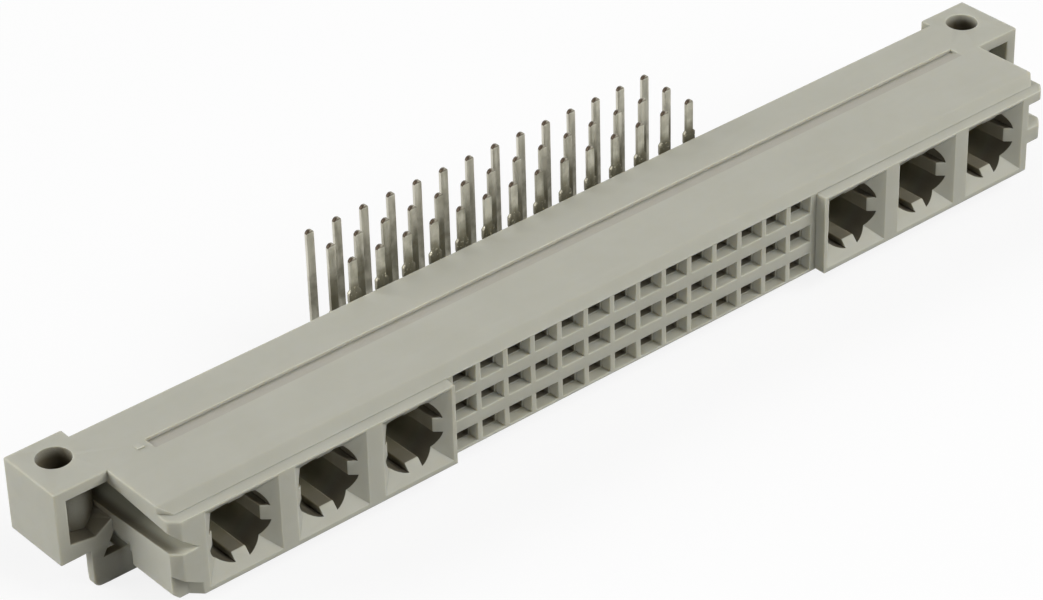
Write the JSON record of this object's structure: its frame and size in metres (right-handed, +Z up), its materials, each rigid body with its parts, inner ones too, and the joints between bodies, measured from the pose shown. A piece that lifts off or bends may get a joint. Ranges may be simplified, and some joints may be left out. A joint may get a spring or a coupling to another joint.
{
  "type": "backplane connector",
  "caption": "Right-angle female backplane connector: a long insert with rows of signal sockets between round power cavities, a screw flange at each end, and tails up through the board.",
  "frame": {"origin": "midway between the two board screw holes, on the top face that seats against the board", "axes": "+X along the length, -Y towards the mating half, +Z up through the board, the way the tails point"},
  "size_m": [0.094, 0.0187, 0.012],
  "materials": {
    "housing_plastic": "satin",
    "contact_metal": "satin"
  },
  "bodies": {
    "root": {"housing": "housing_plastic", "contact_a01": "contact_metal", "contact_a02": "contact_metal", "contact_a03": "contact_metal", "contact_a04": "contact_metal", "contact_a05": "contact_metal", "contact_a06": "contact_metal", "contact_a07": "contact_metal", "contact_a08": "contact_metal", "contact_a09": "contact_metal", "contact_a10": "contact_metal", "contact_a11": "contact_metal", "contact_a12": "contact_metal", "contact_a13": "contact_metal", "contact_a14": "contact_metal", "contact_b01": "contact_metal", "contact_b02": "contact_metal", "contact_b03": "contact_metal", "contact_b04": "contact_metal", "contact_b05": "contact_metal", "contact_b06": "contact_metal", "contact_b07": "contact_metal", "contact_b08": "contact_metal", "contact_b09": "contact_metal", "contact_b10": "contact_metal", "contact_b11": "contact_metal", "contact_b12": "contact_metal", "contact_b13": "contact_metal", "contact_b14": "contact_metal", "contact_c01": "contact_metal", "contact_c02": "contact_metal", "contact_c03": "contact_metal", "contact_c04": "contact_metal", "contact_c05": "contact_metal", "contact_c06": "contact_metal", "contact_c07": "contact_metal", "contact_c08": "contact_metal", "contact_c09": "contact_metal", "contact_c10": "contact_metal", "contact_c11": "contact_metal", "contact_c12": "contact_metal", "contact_c13": "contact_metal", "contact_c14": "contact_metal"}
  },
  "joints": []
}
